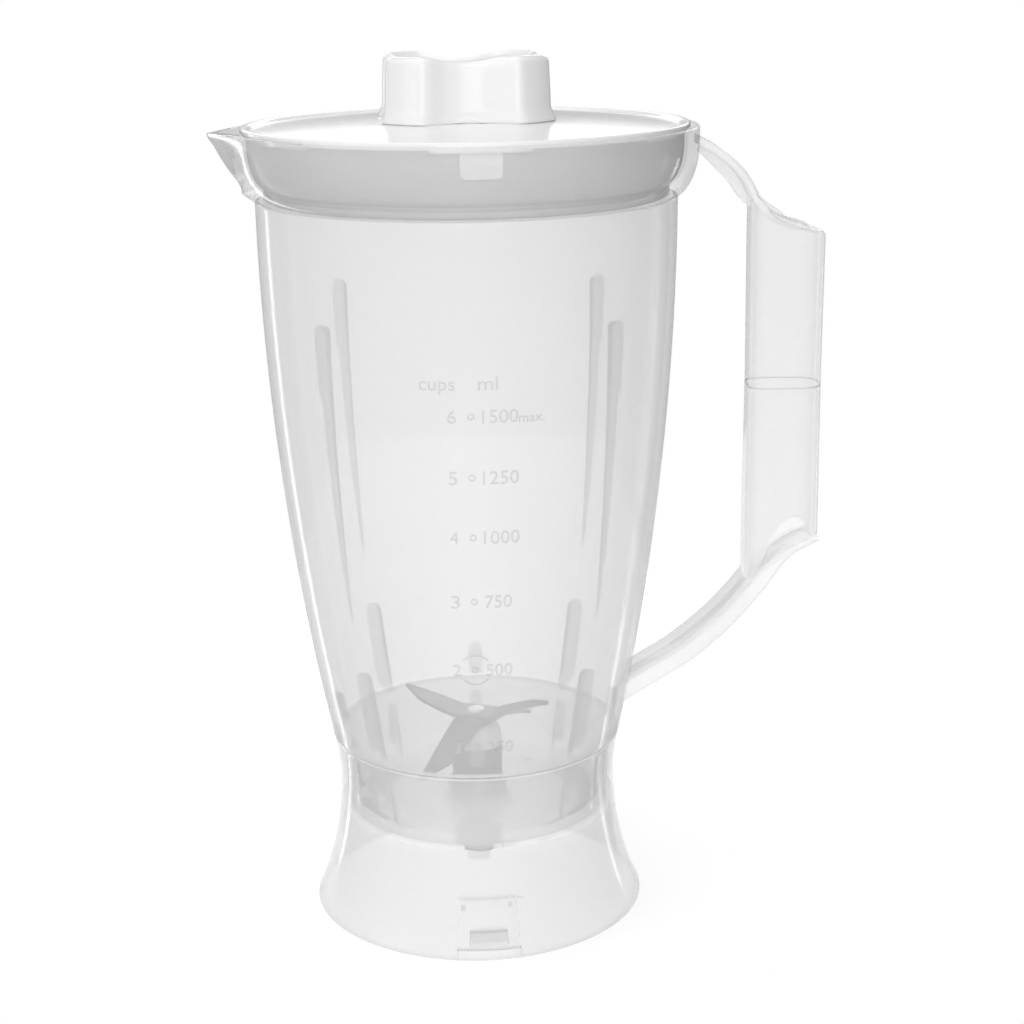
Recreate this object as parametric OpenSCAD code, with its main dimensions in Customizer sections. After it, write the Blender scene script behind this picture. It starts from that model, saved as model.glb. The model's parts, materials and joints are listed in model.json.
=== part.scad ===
// Jug of a kitchen blender: milky vessel with handle, lid, filler cap, blade unit and clear base skirt.
// Origin: centre of the skirt's foot. +Z is up, +X points to the handle, -X to the spout and
// -Y to the measuring scale. Millimetres.

/* [Base skirt] */
// Outer radius of the foot that stands on the table
foot_r = 58; // [57:0.5:59]
// Height of the skirt
skirt_h = 62.4; // [62:0.2:63]
// Outer radius at the skirt's waist
waist_r = 48.4; // [48.2:0.1:48.8]
// Height of the waist
waist_z = 46; // [45:0.5:47]
// Wall thickness of the flare
skirt_wall = 2.2; // [2:0.1:2.4]

/* [Jug] */
// Outer radius of the body where it meets the skirt
body_low_r = 50.4; // [50.2:0.1:50.8]
// Outer radius of the body at the collar seam
body_top_r = 69.4; // [69.2:0.1:69.8]
// Height of the seam between body and collar
seam_z = 248.3; // [247:0.5:249]
// Wall thickness of the body
jug_wall = 2.5; // [2.3:0.1:2.7]
// Outer radius of the collar's rim
rim_r = 76.4; // [76.2:0.1:76.8]
// Height of the collar's rim
rim_z = 271; // [270.8:0.1:271.2]

/* [Ribs and scale] */
// Width of the ribs inside the jug
rib_w = 4; // [3:0.5:5]
// How far the ribs stand in from the wall
rib_depth = 3.2; // [2.5:0.1:3.6]
// Heights of the 250 ml marks, lowest first
mark_heights = [74.7, 103.4, 127.6, 149.5, 169.3, 189];

/* [Handle] */
// Inner and outer faces of the grip, as distances from the jug's axis
grip_in_x = 93.4; // [93:0.2:94]
grip_out_x = 118.6; // [118:0.2:119.4]
// Width of the grip and of its arms
grip_w = 20; // [18:1:22]
arm_w = 17; // [15:1:18]
// Wall thickness of the grip
grip_wall = 2.4; // [2:0.2:2.8]

/* [Lid and cap] */
// Outer radius of the lid's rim
lid_r = 73.3; // [73.1:0.1:73.4]
// Radius of the filler hole
filler_r = 24; // [23.8:0.1:24.2]
// Height of the top of the filler cap
cap_top_z = 294.2; // [293:0.2:295]
// Radius of the filler cap over its four lobes
lobe_r = 31; // [30.5:0.5:31.5]

/* [Blade unit] */
// Radius of the spindle
spindle_r = 3; // [2.5:0.25:3.5]
// Running clearance between spindle and bushes
running_gap = 0.03; // [0.02:0.01:0.05]
// Reach of the blades from the axis
blade_reach = 28; // [26:0.5:30]
// Width of the blades
blade_w = 11; // [10:0.5:12]
// Thickness of the blade steel
blade_t = 1.5; // [1.2:0.1:1.8]
// Height of the upper face of the upper blade's hub
hub_z = 67.4; // [67:0.2:68]

/* [Hidden] */
$fn = 96;

// Skirt and its bayonet
foot_land_h = 3;
foot_land_r = foot_r - 2.6;
flare_power = 2.1;
ledge_top = 35.3;
ledge_t = 2.6;
ledge_in_r = 36;
hook_gap = 0.4;
hook_half_angle = 5;
unlock_angle = 25;
hook_azimuths = [30, 150, 270];
hook_in_r = 38.5;
hook_stem_r = 41;
hook_out_r = 43.5;
hook_foot_t = 2;

// Sprung tongue in the front of the skirt
tongue_az = -87;
tongue_half_angle = 10.5;
tongue_low = 3.4;
tongue_top = 18.8;
tongue_side_gap = 0.6;
press_bar_low = 4.6;
press_bar_top = 9.4;
press_bar_half_angle = 6.8;

// Jug
jug_bottom_z = 35.6;
floor_t = 2.6;
floor_z = jug_bottom_z + floor_t;
spigot_low_r = 45.9;
spigot_top_r = 46.9;
spigot_wall = 2.3;
spigot_corner = 3;
sleeve_gap = 0.35;
belly_power = 1.95;
belly_steps = 14;
collar_steps = 10;
neck_r = 67.5;
neck_in_r = body_top_r - jug_wall;
flare_top_z = 266;
neck_top_z = 252.5;
collar_in_r = 72.6;
seat_z = 268.8;
seat_r = 73.8;
spout_tip_x = -84.8;
housing_hole_r = 8.1;

// Lid and cap
plug_bottom_z = 248.6;
plug_low_r = 65.8;
plug_gap = 1.2;
lid_t = 2;
lid_top_z = 273.6;
lid_tab_az = -86.4;
lid_tab_half_angle = 5;
cap_foot_z = 274;
grip_dip = 19;
grip_scoop_r = 24;
dish_r = 62;
cap_turn = 4;

// Blade unit
housing_r = 8.9;
housing_top = 55;
shank_r = 7.9;
shank_bottom = 29;
flange_r = 10.4;
gasket_t = 1;
bush_r = 5;
bush_gap = 0.02;
nut_h = 4.8;
spacer_t = 1.2;
fold_x = 6.5;
coupling_z = 16.5;
coupling_h = 10;

function lerp(a, b, t) = a + (b - a) * t;
function bezier(a, b, c, t) = lerp(lerp(a, b, t), lerp(b, c, t), t);
function curve(a, b, c, steps = 12) = [for (i = [0 : steps]) bezier(a, b, c, i / steps)];
function reversed(list) = [for (i = [len(list) - 1 : -1 : 0]) list[i]];

// Outer radius of the skirt, of the body and of the collar at a height
function skirt_r(z) = z < waist_z
    ? waist_r + (foot_r - waist_r) * pow((waist_z - z) / waist_z, flare_power)
    : waist_r + (body_low_r - 0.2 - waist_r) * pow((z - waist_z) / (skirt_h - waist_z), 1.6);
function body_r(z) = body_top_r
    - (body_top_r - body_low_r) * pow((seam_z - z) / (seam_z - skirt_h), belly_power);
function quarter(z, low, high) = let (t = min(1, max(0, (z - low) / (high - low)))) sqrt(1 - pow(1 - t, 2));
function collar_r(z) = neck_r + (rim_r - neck_r) * quarter(z, seam_z, flare_top_z);
function collar_inside(z) = neck_in_r + (collar_in_r - neck_in_r) * quarter(z, neck_top_z, flare_top_z);
function spigot_r(z) = lerp(spigot_low_r, spigot_top_r, (z - jug_bottom_z) / (skirt_h - jug_bottom_z));
function inside_r(z) = z > skirt_h + 3 ? body_r(z) - jug_wall : spigot_r(z) - spigot_wall;

body_zs = [for (i = [0 : belly_steps]) lerp(skirt_h + 0.4, seam_z, i / belly_steps)];
inside_zs = [for (i = [0 : belly_steps]) lerp(skirt_h + 4, seam_z, i / belly_steps)];
collar_zs = [for (i = [0 : collar_steps]) lerp(seam_z, flare_top_z, pow(i / collar_steps, 1.7))];
inner_collar_zs = [for (i = [0 : collar_steps]) lerp(neck_top_z, flare_top_z, pow(i / collar_steps, 1.7))];
skirt_zs = [for (i = [0 : 12]) lerp(0, waist_z, i / 12)];
sleeve_zs = [for (i = [1 : 4]) lerp(waist_z, skirt_h, i / 4)];

body_outline = [for (z = body_zs) [body_r(z), z]];
collar_outline = [for (z = collar_zs) [collar_r(z), z + 0.3 * (1 - quarter(z, seam_z, flare_top_z))]];
rim_outline = [[rim_r, rim_z - 1], [rim_r - 0.8, rim_z]];

module ring(r_in, r_out, z_low, z_high) {
    translate([0, 0, z_low])
    difference() {
        cylinder(r = r_out, h = z_high - z_low);
        translate([0, 0, -1]) cylinder(r = r_in, h = z_high - z_low + 2);
    }
}

// Part of a ring between two azimuths, in degrees
module ring_sector(r_in, r_out, z_low, z_high, az_from, az_to) {
    rotate([0, 0, az_from])
    rotate_extrude(angle = az_to - az_from)
    translate([r_in, z_low]) square([r_out - r_in, z_high - z_low]);
}

// Flat shape drawn in the X-Z plane and given a width along Y
module side_plate(points, width) {
    rotate([90, 0, 0]) linear_extrude(height = width, center = true) polygon(points);
}

module flare_section() {
    polygon(concat(
        [[foot_land_r, 0]],
        [for (z = skirt_zs) [skirt_r(z), z]],
        [for (z = sleeve_zs) [skirt_r(z), z]],
        [[spigot_top_r + sleeve_gap, skirt_h], [spigot_r(ledge_top) + sleeve_gap, ledge_top]],
        [[ledge_in_r, ledge_top], [ledge_in_r, ledge_top - ledge_t]],
        [[skirt_r(ledge_top - ledge_t) - skirt_wall, ledge_top - ledge_t]],
        [for (z = reversed([for (q = skirt_zs) if (q > foot_land_h && q < ledge_top - ledge_t - 1) q]))
            [skirt_r(z) - skirt_wall, z]],
        [[foot_land_r, foot_land_h]]
    ));
}

// The skirt's plain wall, without its ledge and foot land
module wall_section() {
    zs = [for (z = skirt_zs) if (z < waist_z / 2) z];
    polygon(concat([for (z = zs) [skirt_r(z), z]], [for (z = reversed(zs)) [skirt_r(z) - skirt_wall, z]]));
}

// Slot in the skirt's ledge: wide where a hook drops in, narrow where its foot is caught under the ledge
module bayonet_slot(az) {
    entry = az + unlock_angle;
    reach = hook_half_angle + 1.5;
    low = ledge_top - ledge_t - 2;
    ring_sector(hook_stem_r - hook_gap, hook_out_r + hook_gap, low, ledge_top + 1, az - reach, entry);
    ring_sector(hook_in_r - hook_gap, hook_out_r + 2 * hook_gap, low - 1, ledge_top + 2, entry - reach, entry + reach);
}

module base_skirt() {
    color([0.9, 0.94, 0.96, 0.35])
    difference() {
        rotate_extrude() flare_section();
        for (az = hook_azimuths) bayonet_slot(az);
        ring_sector(foot_land_r - 8, foot_r + 2, tongue_low - 0.4, tongue_top + 0.7,
            tongue_az - tongue_half_angle - tongue_side_gap, tongue_az + tongue_half_angle + tongue_side_gap);
    }
}

module latch_tongue() {
    color([0.88, 0.92, 0.95, 0.4]) {
        intersection() {
            rotate([0, 0, tongue_az - tongue_half_angle])
            rotate_extrude(angle = 2 * tongue_half_angle) wall_section();
            translate([0, 0, tongue_low]) cylinder(r = foot_r + 5, h = tongue_top - tongue_low);
        }
        ring_sector(skirt_r(7) - 1, skirt_r(7) + 1.4, press_bar_low, press_bar_top,
            tongue_az - press_bar_half_angle, tongue_az + press_bar_half_angle);
    }
}

// Everything inside the jug's outer skin, from its floor to its rim
module jug_envelope() {
    rotate_extrude()
    polygon(concat(
        [[0, jug_bottom_z], [spigot_low_r - spigot_corner, jug_bottom_z]],
        [[spigot_r(jug_bottom_z + spigot_corner), jug_bottom_z + spigot_corner]],
        [[spigot_top_r, skirt_h + 0.4]],
        body_outline, collar_outline, rim_outline,
        [[0, rim_z]]
    ));
}

module jug_hollow() {
    rotate_extrude()
    polygon(concat(
        [[0, floor_z], [inside_r(floor_z) - spigot_corner, floor_z]],
        [[inside_r(floor_z + spigot_corner), floor_z + spigot_corner], [inside_r(skirt_h), skirt_h]],
        [for (z = inside_zs) [body_r(z) - jug_wall, z]],
        [for (z = inner_collar_zs) [collar_inside(z), z]],
        [[collar_in_r, seat_z], [seat_r, seat_z], [seat_r, rim_z + 1], [0, rim_z + 1]]
    ));
}

// Heights along a rib's back, which skip the step where the wall leaves the skirt
function rib_zs(bottom_z, top_z) = bottom_z > skirt_h
    ? [for (i = [0 : 6]) lerp(bottom_z, top_z, i / 6)]
    : concat(
        [for (i = [0 : 3]) lerp(bottom_z, skirt_h, i / 3)],
        [for (i = [0 : 4]) lerp(skirt_h + 3.1, top_z, i / 4)]
    );

// Upright rib inside the wall, whose straight inner edge fades into the wall where the wall curves in
module rib(az, top_z, bottom_z, top_depth, bottom_depth) {
    top_r = inside_r(top_z) - top_depth;
    bottom_r = inside_r(bottom_z) - bottom_depth;
    backs = [for (z = rib_zs(bottom_z, top_z)) [inside_r(z) + 0.8, z]];
    rotate([0, 0, az])
    side_plate(concat(backs, [[top_r + rib_depth / 2, top_z], [top_r, top_z - 2], [bottom_r, bottom_z]]), rib_w);
}

module spout(inset, lift) {
    intersection() {
        translate([0, 0, seam_z - 20]) linear_extrude(height = 60)
        polygon([[-66, 15 - inset], [spout_tip_x + 1.6 * inset, 1.2], [spout_tip_x + 1.6 * inset, -1.2],
            [-66, -15 + inset]]);
        side_plate([[-66, 247 + lift], [-71, 249 + lift], [-75.5, 254.5 + lift], [spout_tip_x, 268.4 + lift / 3],
            [spout_tip_x, rim_z + lift], [-66, rim_z + lift]], 40);
    }
}

module bayonet_hook(az) {
    foot_top = ledge_top - ledge_t - hook_gap;
    ring_sector(hook_stem_r, hook_out_r, foot_top - 1, jug_bottom_z + 1, az - hook_half_angle, az + hook_half_angle);
    ring_sector(hook_in_r, hook_out_r, foot_top - hook_foot_t, foot_top, az - hook_half_angle, az + hook_half_angle);
}

module jug() {
    color([0.92, 0.93, 0.93, 0.55]) {
        difference() {
            union() {
                jug_envelope();
                spout(0, 0);
            }
            jug_hollow();
            spout(2, 2.5);
            translate([0, 0, jug_bottom_z - 1]) cylinder(r = housing_hole_r, h = floor_t + 2);
        }
        for (az = [45 : 90 : 315]) {
            rib(az, 214, 104, rib_depth, 0);
            rib(az, 95.5, floor_z - 0.5, rib_depth, rib_depth);
        }
        for (az = [0 : 90 : 270]) rib(az, 75, floor_z - 0.5, rib_depth, rib_depth);
        for (az = hook_azimuths) bayonet_hook(az);
        for (z = mark_heights) translate([0, -body_r(z) - 0.35, z]) rotate([-90, 0, 0]) cylinder(r = 1.3, h = 2);
    }
}

// Outline of the grip tube seen from above
module grip_outline(inset) {
    end_r = grip_w / 2;
    offset(delta = -inset)
    hull() {
        translate([grip_in_x + end_r * 0.8, 0]) scale([0.8, 1]) circle(r = end_r, $fn = 48);
        translate([grip_out_x - end_r * 0.8, 0]) scale([0.8, 1]) circle(r = end_r, $fn = 48);
    }
}

// Hollow grip, cut along a curve at the top and along an arch at the bottom
module grip_tube() {
    top_cut = curve([91, 251], [100.5, 239.5], [122, 234.5]);
    arch = concat(curve([91, 107], [99.5, 135.5], [111.5, 134]), curve([112, 134], [117, 133.6], [122, 129.6], 5));
    difference() {
        intersection() {
            linear_extrude(height = 300) grip_outline(0);
            side_plate(concat(top_cut, reversed(arch)), grip_w + 4);
        }
        translate([0, 0, 60]) linear_extrude(height = 240) grip_outline(grip_wall);
    }
}

// Plate with a rib under it, from the collar down over the side of the grip's top that faces the jug
module upper_arm() {
    top_edge = concat(curve([70, 268.4], [91, 261], [96.4, 246.4]), curve([97, 245.2], [101, 240], [109, 238.2], 6));
    under_edge = concat(curve([70, 265.6], [89, 258.6], [93.8, 245.4]), curve([94.6, 243.6], [99.5, 237.6], [109, 236.2], 6));
    web_edge = curve([70, 261.6], [84.5, 257.4], [94.4, 238]);
    side_plate(concat(top_edge, reversed(under_edge)), arm_w - 1);
    side_plate(concat(curve([70, 267.6], [90, 260], [95.4, 246]), reversed(web_edge)), rib_w);
}

// Channel that opens downwards, from the body up and round under the grip to its outer wall
module lower_arm() {
    top_edge = concat(curve([46, 78], [80, 98.2], [94.4, 117.2]), curve([95.2, 118.1], [102, 125], [118, 132.2], 8));
    under_edge = concat(curve([46, 75.2], [81.8, 96], [96.4, 115.4]), curve([97.2, 116.3], [103.4, 122.6], [118, 129.8], 8));
    side_edge = curve([46, 71.4], [84.6, 88.4], [104, 122]);
    side_plate(concat(top_edge, reversed(under_edge)), arm_w);
    for (side = [-1, 1]) translate([0, side * (arm_w / 2 - 1.3), 0])
        side_plate(concat(curve([46, 77], [81, 97.2], [95.4, 116.4]), reversed(side_edge)), 2.4);
}

module handle() {
    color([0.93, 0.94, 0.94, 0.6])
    difference() {
        union() {
            grip_tube();
            upper_arm();
            lower_arm();
        }
        jug_envelope();
    }
}

module bearing_housing() {
    color("gainsboro")
    difference() {
        union() {
            translate([0, 0, shank_bottom]) cylinder(r = shank_r, h = floor_z + gasket_t - shank_bottom);
            translate([0, 0, floor_z + gasket_t]) cylinder(r = flange_r, h = 2);
            translate([0, 0, floor_z + gasket_t]) cylinder(r = housing_r, h = housing_top - floor_z - gasket_t);
        }
        translate([0, 0, shank_bottom - 1]) cylinder(r = bush_r, h = housing_top - shank_bottom + 2);
        translate([0, 0, housing_top - 2.5]) cylinder(r = 6.5, h = 4);
    }
}

module floor_gasket() {
    color("dimgray") ring(housing_hole_r, flange_r - 0.2, floor_z, floor_z + gasket_t);
}

module housing_nut() {
    color("silver")
    translate([0, 0, jug_bottom_z - nut_h])
    difference() {
        cylinder(r = 12.2, h = nut_h, $fn = 6);
        translate([0, 0, -1]) cylinder(r = shank_r + 0.1, h = nut_h + 2);
    }
}

module upper_bush() {
    color("tan") ring(spindle_r + running_gap, bush_r - bush_gap, 43, housing_top - 2.6);
}

module lower_bush() {
    color("tan") ring(spindle_r + running_gap, bush_r - bush_gap, shank_bottom + 0.2, 38);
}

module shaft_seal() {
    color("dimgray") {
        ring(spindle_r + 0.06, 6.4, housing_top - 2.5, housing_top);
        ring(spindle_r + 0.06, 4.6, housing_top, housing_top + 2);
    }
}

module spindle() {
    lower_hub = hub_z - 2 * blade_t - spacer_t;
    color("silver") {
        translate([0, 0, coupling_z + 2]) cylinder(r = spindle_r, h = hub_z - coupling_z - 2);
        translate([0, 0, hub_z]) cylinder(r1 = spindle_r + 0.4, r2 = spindle_r - 0.2, h = 0.8);
        translate([0, 0, lower_hub - 5]) cylinder(r = spindle_r + 1, h = 1.8);
    }
}

module splash_cap() {
    cap_top = hub_z - 2 * blade_t - spacer_t;
    color([0.3, 0.3, 0.32])
    difference() {
        rotate_extrude()
        polygon(concat(
            [[spindle_r + 0.02, housing_top + 0.4], [housing_r + 0.1, housing_top + 0.4]],
            curve([housing_r + 0.1, housing_top + 2], [housing_r - 0.4, cap_top - 1.5], [6.4, cap_top], 6),
            [[spindle_r + 0.02, cap_top]]
        ));
        translate([0, 0, housing_top]) cylinder(r = 6.4, h = 3);
        translate([0, 0, housing_top]) cylinder(r = spindle_r + 1.02, h = cap_top - housing_top - 3.2);
    }
}

// Outline of a blade seen from above: two pointed wings, alike when turned by half a turn
module blade_outline() {
    half = blade_w / 2;
    wing = [[blade_reach * 0.98, -half * 0.82], [blade_reach * 0.72, half * 0.55], [blade_reach * 0.45, half * 0.9],
        [fold_x, half]];
    polygon(concat(wing, [[-fold_x, half]], [for (p = wing) -p], [[fold_x, -half]]));
}

// Bent strip seen from the side, with a tilt for the wing at each end
module blade_strip(tilt_front, tilt_back) {
    rise_front = (blade_reach + 2 - fold_x) * tan(tilt_front);
    rise_back = (blade_reach + 2 - fold_x) * tan(tilt_back);
    ends = [[-blade_reach - 2, rise_back], [-fold_x, 0], [fold_x, 0], [blade_reach + 2, rise_front]];
    side_plate(concat(ends, reversed([for (p = ends) p + [0, blade_t]])), 2 * blade_reach);
}

module blade(az, low_z, tilt_front, tilt_back) {
    color("lightgray")
    translate([0, 0, low_z]) rotate([0, 0, az])
    difference() {
        intersection() {
            blade_strip(tilt_front, tilt_back);
            translate([0, 0, -blade_reach]) linear_extrude(height = 2 * blade_reach) blade_outline();
        }
        translate([0, 0, -1]) cylinder(r = spindle_r + 0.02, h = blade_t + 2);
    }
}

module upper_blade() {
    blade(162, hub_z - blade_t, 16, 20);
}

module lower_blade() {
    blade(54, hub_z - 2 * blade_t - spacer_t, -14, -34);
}

module blade_spacer() {
    color("gray") ring(spindle_r + 0.02, 5, hub_z - blade_t - spacer_t, hub_z - blade_t);
}

module thrust_washer() {
    color("silver") ring(spindle_r + 0.05, 4.8, shank_bottom - 0.7, shank_bottom - 0.2);
}

module circlip() {
    color("gray")
    difference() {
        ring(spindle_r, 4.6, shank_bottom - 1.5, shank_bottom - 0.7);
        translate([0, -0.8, shank_bottom - 2]) cube([6, 1.6, 2]);
    }
}

module drive_coupling() {
    color([0.2, 0.2, 0.22])
    translate([0, 0, coupling_z])
    difference() {
        union() {
            cylinder(r = 6, h = coupling_h);
            for (az = [0 : 60 : 300]) rotate([0, 0, az]) translate([6, 0, 0]) cylinder(r = 2.2, h = coupling_h - 3);
        }
        translate([0, 0, 2]) cylinder(r = spindle_r, h = coupling_h);
        translate([0, 0, -1]) cylinder(r = 2, h = 4);
    }
}

module lid() {
    plug_zs = [for (i = [0 : 8]) lerp(neck_top_z, seat_z - 0.6, pow(i / 8, 1.5))];
    color("white")
    difference() {
        union() {
            rotate_extrude()
            polygon(concat(
                [[filler_r, lid_top_z - 10], [filler_r + 2, lid_top_z - 10], [filler_r + 2, lid_top_z - lid_t - 0.3]],
                [[collar_in_r - plug_gap - 2.6, seat_z - 0.4]],
                [for (z = reversed(plug_zs)) [collar_inside(z) - plug_gap - lid_t, z - 1]],
                [[plug_low_r - lid_t, plug_bottom_z], [plug_low_r, plug_bottom_z], [plug_low_r, neck_top_z]],
                [for (z = plug_zs) if (z > neck_top_z) [collar_inside(z) - plug_gap, z]],
                [[collar_in_r - plug_gap, seat_z], [lid_r, seat_z], [lid_r, seat_z + 2.4], [lid_r - 1, seat_z + 3.4]],
                [[lid_r - 3.4, seat_z + 3.4], [lid_r - 4.2, seat_z + 2.4], [filler_r + 6, lid_top_z]],
                [[filler_r, lid_top_z]]
            ));
            ring_sector(collar_in_r - plug_gap - 1, collar_in_r - 0.3, seat_z - 6, seat_z,
                lid_tab_az - lid_tab_half_angle, lid_tab_az + lid_tab_half_angle);
        }
        ring_sector(plug_low_r - 0.6, plug_low_r + 1, plug_bottom_z + 0.6, plug_bottom_z + 2.6, 0, 360);
    }
}

module lid_seal() {
    color("gainsboro")
    ring(plug_low_r - 0.6, neck_in_r - 0.3, plug_bottom_z + 0.6, plug_bottom_z + 2.6);
}

// Four-lobed outline of the knob
module lobed_outline() {
    rotate(cap_turn)
    offset(r = 4, $fn = 24) offset(delta = -4)
    difference() {
        circle(r = lobe_r);
        for (az = [0 : 90 : 270]) rotate(az) translate([grip_dip + grip_scoop_r, 0]) circle(r = grip_scoop_r);
    }
}

module filler_cap() {
    plug_r = filler_r - 0.8;
    color("white")
    difference() {
        union() {
            translate([0, 0, cap_foot_z]) linear_extrude(height = cap_top_z - cap_foot_z) lobed_outline();
            translate([0, 0, cap_foot_z]) linear_extrude(height = 1.6) offset(r = 1.6) lobed_outline();
            translate([0, 0, lid_top_z - 13]) cylinder(r = plug_r, h = 16);
        }
        translate([0, 0, cap_top_z + dish_r - 4.6]) sphere(r = dish_r, $fn = 128);
        translate([0, 0, lid_top_z - 14]) cylinder(r = plug_r - 2, h = 16);
        translate([0, 0, lid_top_z + 1]) linear_extrude(height = 12) offset(delta = -2.4) lobed_outline();
        ring(plug_r - 0.6, plug_r + 1, lid_top_z - 9, lid_top_z - 7);
    }
}

module cap_seal() {
    color("gainsboro") ring(filler_r - 1.4, filler_r - 0.3, lid_top_z - 9, lid_top_z - 7);
}

base_skirt();
latch_tongue();
jug();
handle();
bearing_housing();
floor_gasket();
housing_nut();
upper_bush();
lower_bush();
shaft_seal();
spindle();
splash_cap();
lower_blade();
blade_spacer();
upper_blade();
thrust_washer();
circlip();
drive_coupling();
lid();
lid_seal();
filler_cap();
cap_seal();
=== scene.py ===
import json
import math

import bmesh
import bpy
import numpy as np
from mathutils import Matrix, Vector


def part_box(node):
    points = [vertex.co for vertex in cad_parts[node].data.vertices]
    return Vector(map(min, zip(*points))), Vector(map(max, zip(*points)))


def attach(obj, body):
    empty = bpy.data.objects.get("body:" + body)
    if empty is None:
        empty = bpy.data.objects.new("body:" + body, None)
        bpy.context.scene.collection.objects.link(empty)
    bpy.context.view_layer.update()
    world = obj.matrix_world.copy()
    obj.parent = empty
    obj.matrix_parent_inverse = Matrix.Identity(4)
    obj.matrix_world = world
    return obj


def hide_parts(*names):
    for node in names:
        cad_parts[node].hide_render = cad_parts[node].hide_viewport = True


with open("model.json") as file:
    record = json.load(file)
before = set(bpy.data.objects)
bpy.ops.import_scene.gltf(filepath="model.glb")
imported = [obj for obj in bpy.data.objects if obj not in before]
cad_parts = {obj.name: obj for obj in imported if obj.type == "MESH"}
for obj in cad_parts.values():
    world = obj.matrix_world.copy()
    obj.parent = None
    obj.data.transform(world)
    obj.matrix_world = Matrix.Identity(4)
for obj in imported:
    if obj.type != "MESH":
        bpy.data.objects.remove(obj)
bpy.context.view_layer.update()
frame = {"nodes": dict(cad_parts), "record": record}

# All shapes are worked out in millimetres and written to the meshes in metres.
MM = 0.001


def box_mm(node):
    low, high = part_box(node)
    return np.array(low) / MM, np.array(high) / MM


# ---------------- sizes from the frame
skirt_high = box_mm("base_skirt")[1]
jug_low, jug_high = box_mm("jug")
lid_high = box_mm("lid")[1]
cap_high = box_mm("filler_cap")[1]
hub_low, hub_high = (corner[2] for corner in box_mm("blade_spacer"))

FOOT_R = skirt_high[0]
SKIRT_TOP = skirt_high[2]
RIM_R = jug_high[0]
RIM_Z = jug_high[2]
SPOUT_X = -jug_low[0]
LID_R = lid_high[0]
CAP_TOP = cap_high[2]

# ---------------- sizes of the looks
# Skirt
WAIST_R = 48.4
WAIST_Z = 46.0
SKIRT_WALL = 2.2
LEDGE_Z = 35.3
LEDGE_T = 2.6
LEDGE_R = 36.0
TONGUE_AZ = -87.0
TONGUE_HALF = 10.5

# Jug
JUG_BOTTOM = 35.6
FLOOR_Z = 38.2
BODY_LOW_R = 50.4
BODY_TOP_R = 69.4
SEAM_Z = 248.3
WALL = 2.5
SPIGOT_LOW_R = 45.9
SPIGOT_TOP_R = 46.9
SPIGOT_WALL = 2.3
NECK_R = 67.5
FLARE_TOP = 266.0
COLLAR_IN_R = 72.6
NECK_TOP = 252.5
SEAT_Z = 268.8
SEAT_R = 73.8
HOLE_R = 8.1
RIB_DEPTH = 3.2
RIB_HALF = 2.2

# Lid
PLUG_R = 65.8
PLUG_BOTTOM = 248.6
PLUG_GAP = 1.2
LID_TOP = 273.6
FILLER_R = 24.0
DOME_EDGE = 6
DOME_DROP = 2.3
LID_FRONT_AZ = -86.4
CAP_TURN = 4.0
KNOB_R = 31.0


# ---------------- small maths
def lerp(a, b, t):
    return a + (b - a) * t


def smooth(t):
    t = np.clip(t, 0, 1)
    return t * t * (3 - 2 * t)


def quarter(z, low, high):
    t = np.clip((z - low) / (high - low), 0, 1)
    return np.sqrt(1 - (1 - t) ** 2)


def skirt_r(z):
    """Outer radius of the skirt: a flare below the waist and a slight widening above it."""
    z = np.asarray(z, float)
    below = WAIST_R + (FOOT_R - WAIST_R) * np.clip((WAIST_Z - z) / WAIST_Z, 0, 1) ** 2.1
    above = (BODY_LOW_R - 0.2 - WAIST_R) * np.clip((z - WAIST_Z) / (SKIRT_TOP - WAIST_Z), 0, 1) ** 1.6
    return below + above


def body_r(z):
    below_seam = np.maximum(SEAM_Z - z, 0) / (SEAM_Z - SKIRT_TOP)
    return BODY_TOP_R - (BODY_TOP_R - BODY_LOW_R) * below_seam**1.95


def collar_r(z):
    return NECK_R + (RIM_R - NECK_R) * quarter(z, SEAM_Z, FLARE_TOP)


def collar_inside(z):
    return BODY_TOP_R - WALL + (COLLAR_IN_R - BODY_TOP_R + WALL) * quarter(z, NECK_TOP, FLARE_TOP)


def spigot_r(z):
    return lerp(SPIGOT_LOW_R, SPIGOT_TOP_R, (z - JUG_BOTTOM) / (SKIRT_TOP - JUG_BOTTOM))


def side(radius_at, z, inset=0.0):
    """Outline of (radius, height) along a wall, at the given heights."""
    return np.column_stack((radius_at(z) - inset, z))


def rounded(corners, closed=True, steps=4):
    """Outline through corners (x, y, radius): a corner with a radius becomes a curve that long."""
    out = []
    last = len(corners) - 1
    for i, (x, y, radius) in enumerate(corners):
        here = np.array((x, y), float)
        if radius == 0 or (not closed and i in (0, last)):
            out.append(here)
            continue
        before = np.array(corners[i - 1][:2], float) - here
        after = np.array(corners[(i + 1) % len(corners)][:2], float) - here
        start = here + before * min(radius / np.linalg.norm(before), 0.48)
        end = here + after * min(radius / np.linalg.norm(after), 0.48)
        for t in np.linspace(0, 1, steps + 1):
            out.append(lerp(lerp(start, here, t), lerp(here, end, t), t))
    return np.array(out)


def through(points, count):
    """Smooth curve through given points, at even steps of their spacing."""
    p = np.array(points, float)
    p = np.vstack([2 * p[0] - p[1], p, 2 * p[-1] - p[-2]])
    out = []
    for s in np.linspace(0, len(points) - 1, count):
        i = min(int(s), len(points) - 2)
        t = s - i
        a, b, c, d = p[i : i + 4]
        square, cube = 2 * a - 5 * b + 4 * c - d, 3 * b - a - 3 * c + d
        out.append(0.5 * (2 * b + (c - a) * t + square * t**2 + cube * t**3))
    return np.array(out)


def polar(r, angle, z):
    """Points at a radius, an angle in radians and a height."""
    return np.stack(np.broadcast_arrays(r * np.cos(angle), r * np.sin(angle), z), axis=-1)


# ---------------- meshes
def new_object(name, data):
    obj = bpy.data.objects.new(name, data)
    bpy.context.scene.collection.objects.link(obj)
    return obj


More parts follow.
